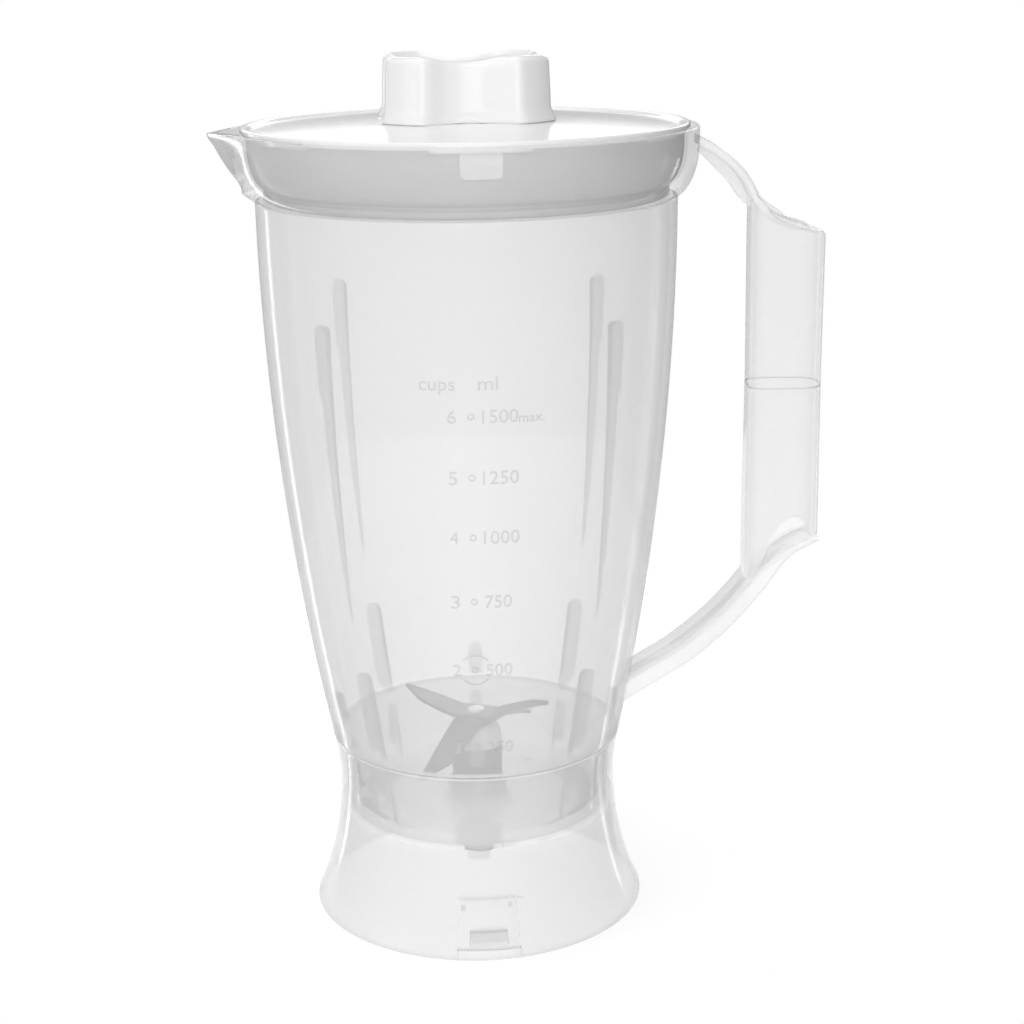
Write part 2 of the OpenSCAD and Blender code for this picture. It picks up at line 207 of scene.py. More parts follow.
def add_mesh(name, points, faces, materials, sharp=32):
    """Object from points in millimetres, with outward normals and edges sharp above an angle."""
    mesh = bpy.data.meshes.new(name)
    mesh.from_pydata((np.asarray(points, float) * MM).tolist(), [], faces)
    bm = bmesh.new()
    bm.from_mesh(mesh)
    bmesh.ops.remove_doubles(bm, verts=bm.verts, dist=1e-6)
    bmesh.ops.recalc_face_normals(bm, faces=bm.faces)
    bm.to_mesh(mesh)
    bm.free()
    for item in materials:
        mesh.materials.append(item)
    obj = new_object(name, mesh)
    finish_shading(obj, sharp)
    return obj


def finish_shading(obj, sharp=32):
    obj.data.shade_smooth()
    obj.data.set_sharp_from_angle(angle=math.radians(sharp))


def grid_faces(rows, cols, wrap_rows, wrap_cols, start=0):
    faces = []
    for i in range(rows if wrap_rows else rows - 1):
        for j in range(cols if wrap_cols else cols - 1):
            a, b = i * cols + j, i * cols + (j + 1) % cols
            c, d = (i + 1) % rows * cols + (j + 1) % cols, (i + 1) % rows * cols + j
            faces.append((start + a, start + b, start + c, start + d))
    return faces


def tube_faces(rows, cols, start=0):
    """Faces of a tube of closed rows, with its two ends filled."""
    last = start + (rows - 1) * cols
    ends = [tuple(range(start, start + cols)), tuple(range(last, last + cols))]
    return grid_faces(rows, cols, False, True, start) + ends


def lathe(name, outline, materials, azimuths=None, shape=None, closed=True):
    """Turned piece. outline holds (radius, height), and shape(r, z, az) may move all points."""
    azimuths = np.arange(0, 360, 2.5) if azimuths is None else np.asarray(azimuths, float)
    outline = np.asarray(outline, float)
    r, az = np.meshgrid(outline[:, 0], azimuths, indexing="ij")
    z = np.repeat(outline[:, 1:2], len(azimuths), axis=1)
    if shape:
        r, z, az = shape(r, z, az)
    points = polar(r, np.radians(az), z).reshape(-1, 3)
    return add_mesh(name, points, grid_faces(len(outline), len(azimuths), closed, True), materials)


def sweep(name, path, sections, materials):
    """Closed band along a path of (x, z). Each section is an outline of (y, out) round its point."""
    path = np.asarray(path, float)
    tangent = np.gradient(path, axis=0)
    tangent /= np.linalg.norm(tangent, axis=1)[:, None]
    normal = np.column_stack((-tangent[:, 1], tangent[:, 0]))
    points = []
    for p, n, section in zip(path, normal, sections):
        points += [(p[0] + n[0] * out, y, p[1] + n[1] * out) for y, out in section]
    return add_mesh(name, points, tube_faces(len(path), len(sections[0])), materials)


def boolean(obj, other, operation):
    """Joins or cuts obj with another object, which is then removed."""
    modifier = obj.modifiers.new("cut", "BOOLEAN")
    modifier.object = other
    modifier.operation = operation
    modifier.solver = "EXACT"
    bpy.context.view_layer.update()
    evaluated = obj.evaluated_get(bpy.context.evaluated_depsgraph_get())
    mesh = bpy.data.meshes.new_from_object(evaluated)
    mesh.name = obj.name
    obj.modifiers.clear()
    obj.data = mesh
    bpy.data.objects.remove(other)


def join_meshes(obj, others):
    """Adds other objects' meshes, already in place, to obj's mesh. Faces keep their slot numbers."""
    bm = bmesh.new()
    bm.from_mesh(obj.data)
    for other in others:
        bm.from_mesh(other.data)
        bpy.data.objects.remove(other)
    bm.to_mesh(obj.data)
    bm.free()
    return obj


# ---------------- materials
def ramp(tree, source, low, high):
    """Map Range node from 0..1 to low..high."""
    node = tree.nodes.new("ShaderNodeMapRange")
    node.inputs["To Min"].default_value = low
    node.inputs["To Max"].default_value = high
    tree.links.new(source, node.inputs["Value"])
    return node.outputs["Result"]


def noise(tree, scale, detail, stretch=(1, 1, 1)):
    """Noise in the piece's own coordinates, in features per metre, stretched along its axes."""
    nodes, links = tree.nodes, tree.links
    coord = nodes.new("ShaderNodeTexCoord")
    mapping = nodes.new("ShaderNodeMapping")
    mapping.inputs["Scale"].default_value = stretch
    texture = nodes.new("ShaderNodeTexNoise")
    texture.inputs["Scale"].default_value = scale
    texture.inputs["Detail"].default_value = detail
    links.new(coord.outputs["Object"], mapping.inputs["Vector"])
    links.new(mapping.outputs["Vector"], texture.inputs["Vector"])
    return texture.outputs["Fac"]


def finish(name, dark, light, rough, grain=400, grain_stretch=(1, 1, 1), ripple=60, bump=0.02,
           **sockets):
    """Principled material: its colour and roughness vary with a grain, and its surface ripples slowly."""
    made = bpy.data.materials.new(name)
    made.use_nodes = True
    tree = made.node_tree
    link = tree.links.new
    shader = tree.nodes["Principled BSDF"]
    grain_out = noise(tree, grain, 4.0, grain_stretch)
    mix = tree.nodes.new("ShaderNodeMix")
    mix.data_type = "RGBA"
    mix.inputs["A"].default_value = (*dark, 1)
    mix.inputs["B"].default_value = (*light, 1)
    link(grain_out, mix.inputs["Factor"])
    link(mix.outputs["Result"], shader.inputs["Base Color"])
    link(ramp(tree, grain_out, *rough), shader.inputs["Roughness"])
    bump_node = tree.nodes.new("ShaderNodeBump")
    bump_node.inputs["Strength"].default_value = 1.0
    bump_node.inputs["Distance"].default_value = bump * MM
    link(noise(tree, ripple, 2.0), bump_node.inputs["Height"])
    link(bump_node.outputs["Normal"], shader.inputs["Normal"])
    for key, value in sockets.items():
        shader.inputs[key.replace("_", " ")].default_value = value
    return made


def grey(value):
    return (value, value, value * 0.998)


def see_through(name, tone, alpha, rough=(0.12, 0.18)):
    """Milky plastic that lets part of what is behind it show."""
    return finish(name, grey(tone - 0.02), grey(tone + 0.02), rough, ripple=30, bump=0.02, Alpha=alpha)


GLOSSY = (0.06, 0.12)
# Each wall's outer skin holds most of its haze, and its inner skin little.
MILKY = see_through("milky_plastic", 0.90, 0.46)
MILKY_IN = see_through("milky_plastic_inside", 0.90, 0.12)
GRIP = see_through("milky_plastic_grip", 0.95, 0.40)
# Ribs: more solid than the wall because they are thicker, and painted a darker grey as painted shade for the
# grey bars the ribs show.
RIB_PAINTED_SHADE = see_through("milky_plastic_rib_painted_shade", 0.50, 0.50)
COLLAR = see_through("collar_plastic", 0.86, 0.34, GLOSSY)
SPOUT = see_through("spout_plastic", 0.60, 0.50, GLOSSY)
COLLAR_IN = see_through("collar_plastic_inside", 0.62, 0.12, GLOSSY)
CLEAR = see_through("clear_plastic", 0.80, 0.52)
SLEEVE = see_through("clear_plastic_sleeve", 0.90, 0.34)
CLEAR_IN = see_through("clear_plastic_inside", 0.88, 0.20)
LEDGE = see_through("clear_plastic_ledge", 0.90, 0.05)
# The skirt's top rim is whiter and more solid than the skirt: a painted highlight along the rim that hides
# the shade in the gap beside it.
SKIRT_RIM_PAINTED_HIGHLIGHT = see_through("clear_plastic_rim_painted_highlight", 0.86, 0.62)
PANEL = see_through("latch_panel", 0.76, 0.60)
BAR = see_through("latch_bar", 0.62, 0.50)
MARK = see_through("raised_marks", 0.66, 0.22)
GROOVE = see_through("skirt_groove", 0.45, 0.14)
WHITE = finish("white_plastic", grey(0.85), grey(0.87), (0.16, 0.22), ripple=80, bump=0.015, IOR=1.5)
# The lid's plug is the same white plastic painted a darker grey: painted shade for the plug down under the
# lid's rim.
PLUG_PAINTED_SHADE = finish("white_plastic_plug_painted_shade", grey(0.58), grey(0.62), (0.3, 0.4), ripple=80, bump=0.015, IOR=1.5)
NYLON = finish("pale_nylon", grey(0.55), grey(0.62), (0.4, 0.55), grain=900, bump=0.03)
SILICONE = finish("clear_silicone", grey(0.84), grey(0.90), (0.35, 0.45), Alpha=0.6)
RUBBER = finish("black_rubber", grey(0.02), grey(0.03), (0.6, 0.75), grain=1500, bump=0.03)
BLADE = finish("blade_steel", grey(0.07), grey(0.11), (0.2, 0.34), grain=300, grain_stretch=(1, 12, 12),
               ripple=200, bump=0.01, Metallic=1.0)
BRIGHT = finish("bright_steel", grey(0.45), grey(0.55), (0.15, 0.28), grain=900,
                grain_stretch=(1, 1, 10), bump=0.005, Metallic=1.0)
HOUSING = finish("housing_metal", grey(0.04), grey(0.07), (0.3, 0.45), grain=1200, bump=0.02,
                 Metallic=1.0)
BRONZE = finish("bush_bronze", (0.36, 0.24, 0.12), (0.46, 0.32, 0.17), (0.35, 0.5), grain=2500,
                bump=0.02, Metallic=1.0)

SLOT_LOOKS = {
    "milky_plastic": MILKY, "clear_plastic": CLEAR, "white_plastic": WHITE, "dark_plastic": NYLON,
    "clear_silicone": SILICONE, "black_rubber": RUBBER, "blade_steel": BLADE, "bright_steel": BRIGHT,
    "housing_metal": HOUSING, "bush_bronze": BRONZE,
}


def dress_cad_nodes():
    """Every node that is carried over from the frame gets the material of its slot."""
    for part in frame["record"]["subparts"]:
        mesh = frame["nodes"][part["node"]].data
        mesh.materials.clear()
        mesh.materials.append(SLOT_LOOKS[part["material_slot"]])


def paint(obj, choose):
    """Gives each face the material that choose(face, radius, height) returns, from sizes in millimetres."""
    slots = list(obj.data.materials)
    for face in obj.data.polygons:
        radius = math.hypot(face.center.x, face.center.y) / MM
        face.material_index = slots.index(choose(face, radius, face.center.z / MM))


def faces_axis(face, x=0.0):
    """True for a face that looks towards the upright axis at x, in millimetres."""
    return face.normal.x * (face.center.x - x * MM) + face.normal.y * face.center.y < 0


def faces_sideways(face):
    """True for a face that looks round the upright axis, not towards or away from it."""
    across = face.normal.x * face.center.y - face.normal.y * face.center.x
    return abs(across) > 0.7 * math.hypot(face.center.x, face.center.y)


def place(obj, body, slot, *nodes):
    """Rides on a body and stands for CAD nodes, which it hides. Its slot argument is not used."""
    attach(obj, body)
    if nodes:
        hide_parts(*nodes)


# ---------------- jug
RIB_OFFSETS = [-2.7, -2.3, -1.95, -1.6, -0.9, 0.0, 0.9, 1.6, 1.95, 2.3, 2.7]
RIB_STEP = 45
RIB_SOFTNESS = 0.35
SIDE_RIB_TOP = 75.0
LOW_RIB_TOP = 95.5
HIGH_RIB_TOP = 214.0
HIGH_RIB_FOOT = 103.0
SPOUT_START_X = -73.5
HOOK_AZS = (30, 150, 270)
HOOK_HALF = 5
JUG_TURN = 25


def jug_columns():
    """Columns of the jug's grid, close at the ribs: an azimuth and an offset in millimetres from it."""
    base, offset = [], []
    for rib_az in range(0, 360, RIB_STEP):
        base += [rib_az] * len(RIB_OFFSETS) + list(rib_az + np.linspace(5.5, RIB_STEP - 5.5, 12))
        offset += RIB_OFFSETS + [0] * 12
    return np.array(base, float), np.array(offset, float)


def inner_heights():
    """Heights of the inner wall's rows, close together where the ribs end."""
    heights = set(np.round(np.linspace(44, SEAM_Z, 100), 3))
    for top in (SIDE_RIB_TOP, LOW_RIB_TOP, HIGH_RIB_TOP):
        heights |= set(np.round(top + np.arange(-3.2, 1.3, 0.4), 3))
    return np.array(sorted(heights))


def wall_inside(z):
    """Inner radius of the jug's wall, which steps out where the body leaves the skirt."""
    step = smooth((z - SKIRT_TOP + 0.5) / 6)
    return lerp(spigot_r(z) - SPIGOT_WALL, body_r(np.maximum(z, SKIRT_TOP)) - WALL, step)


def low_rib_depth(z, top):
    """Depth of a rib whose inner edge runs straight from the floor to its top."""
    reach = np.clip((z - FLOOR_Z) / (top - FLOOR_Z), 0, 1)
    edge = lerp(wall_inside(FLOOR_Z), wall_inside(top), reach) - RIB_DEPTH
    return np.maximum(wall_inside(z) - edge, 0)


def rib_shape(z, offset, top, foot=None):
    """How far a rib stands in, from 0 to 1, at a height and a distance from its centre line."""
    half = RIB_HALF
    depth = 1.0
    if foot is not None:
        reach = np.clip((z - foot) / (top - foot), 0, 1)
        half = RIB_HALF * lerp(0.3, 1, reach)
        depth = reach
    above = np.maximum(z - (top - half), 0)
    distance = np.sqrt(offset**2 + above**2)
    return depth * smooth((half + RIB_SOFTNESS - distance) / (2 * RIB_SOFTNESS))


def spout_r(r, tip, az):
    """Radius of a round section whose sides run on straight to meet in a spout at azimuth 180."""
    away = np.radians(np.abs(az % 360 - 180))
    away = np.sqrt(away**2 + 0.012**2)
    touch = np.arccos(np.clip(r / np.maximum(tip, r), 0, 1))
    return np.where(away < touch, r / np.cos(touch - np.minimum(away, touch)), r)


def spout_tip(z):
    """Distance of the spout's edge from the axis, from where it leaves the collar up to its tip."""
    start = 254.0
    reach = np.clip((z - start) / (RIM_Z - 1.2 - start), 0, 1) ** 0.72
    return lerp(collar_r(start), SPOUT_X, reach)


def build_jug():
    base, offset = jug_columns()
    body_z = np.linspace(SKIRT_TOP + 1.2, SEAM_Z - 0.9, 60)
    collar_z = lerp(SEAM_Z + 0.9, FLARE_TOP, np.linspace(0, 1, 22) ** 1.5)
    inside_z = inner_heights()
    inner_collar_z = lerp(SEAM_Z + 1.2, FLARE_TOP, np.linspace(0, 1, 20) ** 1.3)
    outline = np.vstack([
        rounded([(HOLE_R, FLOOR_Z - 1, 0), (HOLE_R, JUG_BOTTOM, 0.4), (30, JUG_BOTTOM, 0),
                 (SPIGOT_LOW_R, JUG_BOTTOM, 3.2), (SPIGOT_TOP_R, SKIRT_TOP + 0.4, 0.5),
                 (body_r(SKIRT_TOP + 0.6), SKIRT_TOP + 0.4, 0.5), (body_r(body_z[0]), body_z[0], 0)],
                closed=False),
        side(body_r, body_z)[1:],
        rounded([(BODY_TOP_R - 0.02, SEAM_Z - 0.7, 0), (BODY_TOP_R, SEAM_Z, 0.5),
                 (NECK_R + 0.3, SEAM_Z + 0.3, 0.4), (collar_r(collar_z[0]), collar_z[0] + 0.2, 0)],
                closed=False),
        side(collar_r, collar_z)[1:],
        rounded([(RIM_R - 0.05, RIM_Z - 2, 0), (RIM_R, RIM_Z, 1.0), (SEAT_R, RIM_Z, 0.6),
                 (SEAT_R, SEAT_Z, 0.6), (COLLAR_IN_R, SEAT_Z, 0.5), (COLLAR_IN_R, FLARE_TOP + 0.6, 0)],
                closed=False),
        side(collar_inside, inner_collar_z)[::-1],
        side(wall_inside, inside_z)[::-1],
        rounded([(wall_inside(43.5), 43.5, 0), (wall_inside(FLOOR_Z), FLOOR_Z, 4.5), (34, FLOOR_Z, 0),
                 (31, FLOOR_Z, 0.6), (30.4, FLOOR_Z - 0.7, 0.6), (12, FLOOR_Z - 0.7, 0),
                 (11.4, FLOOR_Z, 0.3), (HOLE_R, FLOOR_Z, 0.3)], closed=False)[:-1],
    ])
    inner_rows = np.arange(len(outline)) > int(np.argmax(outline[:, 1]))

    def shape(r, z, az):
        inner = np.repeat(inner_rows[:, None], r.shape[1], axis=1)
        diagonal = (np.round(base / RIB_STEP).astype(int) % 2 == 1)[None, :]
        narrow = lerp(0.35, 1, np.clip((z - HIGH_RIB_FOOT) / (HIGH_RIB_TOP - HIGH_RIB_FOOT), 0, 1))
        spread = np.where(diagonal & (z > HIGH_RIB_FOOT - 4), narrow, 1.0)
        move = offset[None, :] * spread
        high = RIB_DEPTH * rib_shape(z, move, HIGH_RIB_TOP, HIGH_RIB_FOOT)
        low = low_rib_depth(z, LOW_RIB_TOP) * rib_shape(z, move, LOW_RIB_TOP)
        side = low_rib_depth(z, SIDE_RIB_TOP) * rib_shape(z, move, SIDE_RIB_TOP)
        standing = np.where(diagonal, np.maximum(high, low), side)
        at_rib = (base % RIB_STEP == 0)[None, :]
        pushed = np.minimum(r, wall_inside(np.maximum(z, FLOOR_Z)) - standing)
        wall_zone = inner & (z < SEAM_Z - 5) & at_rib
        r = np.where(wall_zone, pushed, r)
        az = az + np.degrees(move / np.maximum(r, 40))
        tip = spout_tip(z)
        inner_tip = np.maximum(spout_tip(z + 0.6) - 3.4, 0)
        spouted = np.where(inner, spout_r(r, np.where(z > 257, inner_tip, 0), az), spout_r(r, tip, az))
        far = np.clip((spouted - r) / 8, 0, 1)
        z = np.where(z > RIM_Z - 2.5, z - 1.0 * far, z)
        return np.where(z > 250, spouted, r), z, az

    def look(face, radius, height):
        inside = faces_axis(face)
        if height > SEAM_Z + 0.6:
            return COLLAR_IN if inside else SPOUT if face.center.x / MM < SPOUT_START_X else COLLAR
        # Rib faces that stand in from the wall get the darker rib grey, painted shade.
        if FLOOR_Z + 5 < height < HIGH_RIB_TOP + 3 and radius < wall_inside(height) - 0.35:
            return RIB_PAINTED_SHADE
        return MILKY_IN if inside else MILKY

    jug = lathe("jug_body", outline, [MILKY, MILKY_IN, COLLAR, COLLAR_IN, RIB_PAINTED_SHADE, SPOUT], base, shape)
    paint(jug, look)
    join_meshes(jug, bayonet_hooks())
    finish_shading(jug)
    place(jug, "jug", "milky_plastic", "jug")


def sector(name, outline, az_from, az_to, materials, steps=8):
    """Solid swept by an outline of (radius, height) between two azimuths."""
    turns = np.radians(np.linspace(az_from, az_to, steps + 1))
    points = [(r * math.cos(a), r * math.sin(a), z) for a in turns for r, z in outline]
    return add_mesh(name, points, tube_faces(len(turns), len(outline)), materials)


def bayonet_hooks():
    """Hooks under the jug's floor that hold it in the skirt."""
    outline = rounded([(38.5, 30.3, 0.4), (43.5, 30.3, 0.4), (43.5, JUG_BOTTOM + 0.4, 0),
                       (41, JUG_BOTTOM + 0.4, 0), (41, 32.3, 0), (38.5, 32.3, 0.3)])
    return [sector("hook", outline, az - HOOK_HALF, az + HOOK_HALF, [MILKY]) for az in HOOK_AZS]


# ---------------- measuring scale
MARKS = [(74.7, "1", "250"), (103.4, "2", "500"), (127.6, "3", "750"), (149.5, "4", "1000"),
         (169.3, "5", "1250"), (189.0, "6", "1500")]
SCALE_AZ = math.radians(-90)
FIGURE_H = 4.3
FIGURE_W = 1.5
FIGURE_GAP = 1.2
LINE_W = 0.4
CUPS_X = -5.9
NUMBER_X = 3.4
HEADING_Z = 199.5
RELIEF = 0.28


def text_points(text):
    """Flat letter shapes as points and faces, with the text's own width and a height of 1."""
    curve = bpy.data.curves.new("letters", "FONT")
    curve.body = text
    curve.resolution_u = 3
    obj = new_object("letters", curve)
    bpy.context.view_layer.update()
    mesh = bpy.data.meshes.new_from_object(obj.evaluated_get(bpy.context.evaluated_depsgraph_get()))
    points = np.array([v.co[:] for v in mesh.vertices], float)
    faces = [tuple(f.vertices) for f in mesh.polygons]
    bpy.data.objects.remove(obj)
    return points, faces


def raised_text(text, start, end, z, height=FIGURE_H):
    """Letters that stand out of the wall from start to end, in millimetres along it, centred on z."""
    points, faces = text_points(text)
    tall = np.ptp(text_points("0")[0][:, 1])
    along = start + (points[:, 0] - points[:, 0].min()) / np.ptp(points[:, 0]) * (end - start)
    up = z - height / 2 + points[:, 1] / tall * height
    return wrap(SCALE_AZ + along / body_r(z), up, faces)


def wrap(az, up, faces):
    """Solid that follows the wall, from a flat shape: its front stands proud, its back is just under."""
    bm = bmesh.new()
    layers = []
    for lift in (RELIEF, -0.05):
        layers.append(polar(body_r(up) + lift, az, up) * MM)
    front = [bm.verts.new(p) for p in layers[0]]
    back = [bm.verts.new(p) for p in layers[1]]
    for face in faces:
        bm.faces.new([front[i] for i in face])
        bm.faces.new([back[i] for i in reversed(face)])
    edges = {}
    for face in faces:
        for a, b in zip(face, face[1:] + face[:1]):
            edges[frozenset((a, b))] = None if frozenset((a, b)) in edges else (a, b)
    for pair in edges.values():
        if pair:
            a, b = pair
            bm.faces.new([front[b], front[a], back[a], back[b]])
    return bm


def ring_shape(z, radius, gaps=()):
    """Flat ring on the wall round the scale's centre line, with gaps given as angle ranges."""
    steps = 36
    az, up, faces = [], [], []
    for i in range(steps + 1):
        turn = 2 * math.pi * i / steps
        for r in (radius - LINE_W / 2, radius + LINE_W / 2):
            az.append(SCALE_AZ + r * math.cos(turn) / body_r(z))
            up.append(z + r * math.sin(turn))
    for i in range(steps):
        middle = math.degrees(2 * math.pi * (i + 0.5) / steps)
        if not any(low <= middle <= high for low, high in gaps):
            faces.append((2 * i, 2 * i + 1, 2 * i + 3, 2 * i + 2))
    return wrap(np.array(az), np.array(up), faces)


def build_scale():
    shapes = []
    for z, cups, millilitres in MARKS:
        half = 0.7 if cups == "1" else 1.35
        count = len(millilitres)
        end = NUMBER_X + 1.6 + FIGURE_W * count + FIGURE_GAP * (count - 1)
        shapes.append(raised_text(cups, CUPS_X - half, CUPS_X + half, z))
        shapes.append(raised_text(millilitres, NUMBER_X, end, z))
        shapes.append(ring_shape(z, 0.9))
    shapes.append(ring_shape(MARKS[1][0], 5.2, gaps=[(-1, 41), (139, 221), (319, 361)]))
    shapes.append(raised_text("cups", -15.8, -4.8, HEADING_Z))
    shapes.append(raised_text("ml", 2.3, 8.4, HEADING_Z))
    shapes.append(raised_text("max.", 14.8, 23.0, 188.2, height=3.1))
    mesh = bpy.data.meshes.new("scale_marks")
    whole = bmesh.new()
    for bm in shapes:
        part = bpy.data.meshes.new("part")
        bm.to_mesh(part)
        bm.free()
        whole.from_mesh(part)
        bpy.data.meshes.remove(part)
    whole.to_mesh(mesh)
    whole.free()
    mesh.materials.append(MARK)
    place(new_object("scale_marks", mesh), "jug", "milky_plastic")


# ---------------- handle
ARM_W = 17.0
GRIP_X = 106.0
SPLIT_Z = 183.5
TOP_EDGE = [(71, 269.2), (76.5, 266.8), (83.2, 263.0), (89.6, 257.6), (93.6, 252.2), (96.6, 246.4),
            (102.5, 241.0), (108.6, 238.4), (113, 237.0)]
LOW_EDGE = [(47, 78.2), (56.5, 84.2), (69.5, 92.3), (80.6, 101.6), (88.5, 110.0), (94.4, 117.2),
            (100.5, 122.2), (108, 127.0), (117.6, 132.0)]
GRIP_TOP = [(90, 252), (93, 249.4), (96.3, 245.2), (102.7, 240.2), (108.6, 238.0), (114, 236.4),
            (120, 234.8)]
GRIP_ARCH = [(90, 108), (94.4, 114), (97.2, 120.6), (100.6, 126.4), (104.6, 130.8), (109, 133.6),
             (112.6, 134.0), (115.6, 132.6), (118.2, 130.6), (121, 130)]


def channel(width, thick, depth, wall=2.3):
    """Section of an arm: a plate with a wall hanging from each side."""
    half = width / 2
    depth = max(depth, thick + 0.02)
    return rounded([(-half, 0, 1.1), (half, 0, 1.1), (half, -depth, 0.8), (half - wall, -depth, 0.5),
                    (half - wall, -thick, 0.5), (-half + wall, -thick, 0.5), (-half + wall, -depth, 0.5),
                    (-half, -depth, 0.8)], steps=3)


def tee(width, thick, depth, web=3.4):
    """Section of an arm: a plate with a rib under its middle."""
    half = width / 2
    return rounded([(-half, 0, 1.1), (half, 0, 1.1), (half, -thick, 0.9), (web / 2, -thick, 0.7),
                    (web / 2, -thick - depth, 0.6), (-web / 2, -thick - depth, 0.6), (-web / 2, -thick, 0.7),
                    (-half, -thick, 0.9)], steps=3)


def grip_section(inset):
    """Outline of the grip seen from above: a round-cornered oblong, tighter on the jug's side."""
    left, right, half = 93.4 + inset, 118.8 - inset, 10.0 - inset
    near, far = 6.0, 9.0
    corners = [(left, -half, near), (right, -half, far), (right, half, far), (left, half, near)]
    outline = rounded(corners, steps=9)
    filled = []
    for a, b in zip(outline, np.roll(outline, -1, axis=0)):
        count = max(1, int(np.linalg.norm(b - a) / 1.6))
        filled += [lerp(a, b, i / count) for i in range(count)]
    return np.array(filled)


def thinned(row, count):
    """The row's points, picked evenly down to count."""
    return row[np.linspace(0, len(row) - 1, count).round().astype(int)]


def grip_scale(z):
    """The grip narrows a little towards its middle, where a fine line runs round it."""
    waist = 1 - 0.035 * smooth(1 - np.abs(z - 186) / 50)
    return waist - 0.025 * smooth(1 - np.abs(z - SPLIT_Z) / 0.9)


def grip_line(slots):
    """Fine moulded line round the grip where it is narrowest. It has the slots of the mesh it joins."""
    scale = float(grip_scale(SPLIT_Z))
    rows = []
    for out, up in ((0.12, -0.18), (0.12, 0.18), (-0.25, 0.18), (-0.25, -0.18)):
        section = grip_section(-out)
        x = GRIP_X + (section[:, 0] - GRIP_X) * lerp(1, scale, 0.5)
        rows.append(np.column_stack((x, section[:, 1] * scale, np.full(len(x), SPLIT_Z + up))))
    count = min(len(row) for row in rows)
    rows = [thinned(row, count) for row in rows]
    line = add_mesh("grip_line", np.vstack(rows), grid_faces(4, count, True, True), slots)
    paint(line, lambda face, radius, height: BAR)
    return line


def build_grip():
    top = through(GRIP_TOP, 60)
    arch = through(GRIP_ARCH, 60)
    outer, middle, inner = grip_section(0), grip_section(1.15), grip_section(2.3)
    count = min(len(outer), len(middle), len(inner))
    outer, middle, inner = (thinned(section, count) for section in (outer, middle, inner))
    levels = np.concatenate([np.linspace(0, 0.40, 16), np.linspace(0.405, 0.455, 14),
                             np.linspace(0.47, 1, 20)])
    rows = []

    def row(section, level, lift=0.0):
        low = np.interp(outer[:, 0], arch[:, 0], arch[:, 1]) + lift
        high = np.interp(outer[:, 0], top[:, 0], top[:, 1]) - lift
        z = lerp(low, high, level)
        scale = grip_scale(z)
        x = GRIP_X + (section[:, 0] - GRIP_X) * lerp(1, scale, 0.5)
        y = section[:, 1] * scale
        rows.append(np.stack([x, y, z], axis=1))

    for level in levels:
        row(outer, level, 0.8)
    row(lerp(outer, middle, 0.4), 1, 0.25)
    row(middle, 1)
    row(lerp(middle, inner, 0.6), 1, 0.25)
    for level in levels[::-1]:
        row(inner, level, 0.8)
    row(lerp(middle, inner, 0.6), 0, 0.25)
    row(middle, 0)
    row(lerp(outer, middle, 0.4), 0, 0.25)
    points = np.array(rows).reshape(-1, 3)
    return add_mesh("handle_shell", points, grid_faces(len(rows), count, True, True), [GRIP], 40)


def build_handle():
    handle = build_grip()
    top_path = through(TOP_EDGE, 56)
    reach = np.linspace(0, 1, len(top_path))
    thick = lerp(2.9, 2.2, reach) * lerp(1, 0.45, smooth((reach - 0.85) / 0.15))
    web = 0.4 + 3.4 * smooth(reach / 0.35) * smooth((0.72 - reach) / 0.2)
    width = ARM_W - 2.2 * smooth((reach - 0.6) / 0.2)
    sections = [tee(w, t, d) for w, t, d in zip(width, thick, web)]
    boolean(handle, sweep("top_arm", top_path, sections, [GRIP]), "UNION")
    low_path = through(LOW_EDGE, 60)
    reach = np.linspace(0, 1, len(low_path))
    depth = lerp(7.2, 2.4, smooth((reach - 0.62) / 0.3))
    width = ARM_W - 0.8 * smooth((reach - 0.7) / 0.2)
    sections = [channel(w, 2.4, d) for w, d in zip(width, depth)]
    boolean(handle, sweep("low_arm", low_path, sections, [GRIP]), "UNION")
    zs = np.linspace(60, RIM_Z + 4, 90)
    body, collar = body_r(np.clip(zs, SKIRT_TOP, SEAM_Z)), collar_r(np.clip(zs, SEAM_Z, FLARE_TOP))
    skin = np.where(zs < SEAM_Z, body, collar)
    outline = np.vstack([[(0, 60)], np.column_stack((skin + 0.02, zs)), [(0, RIM_Z + 4)]])
    boolean(handle, lathe("jug_space", outline, [GRIP], closed=False), "DIFFERENCE")
    handle.data.materials.append(MILKY_IN)
    handle.data.materials.append(BAR)

    def look(face, radius, height):
        x, y = face.center.x / MM, face.center.y / MM
        in_bore = abs(y) < 8.4 and 95 < x < 117.2
        return MILKY_IN if in_bore and faces_axis(face, GRIP_X) and abs(face.normal.z) < 0.5 else GRIP

    paint(handle, look)
    join_meshes(handle, [grip_line(handle.data.materials)])
    finish_shading(handle, 35)
    place(handle, "jug", "milky_plastic", "handle")


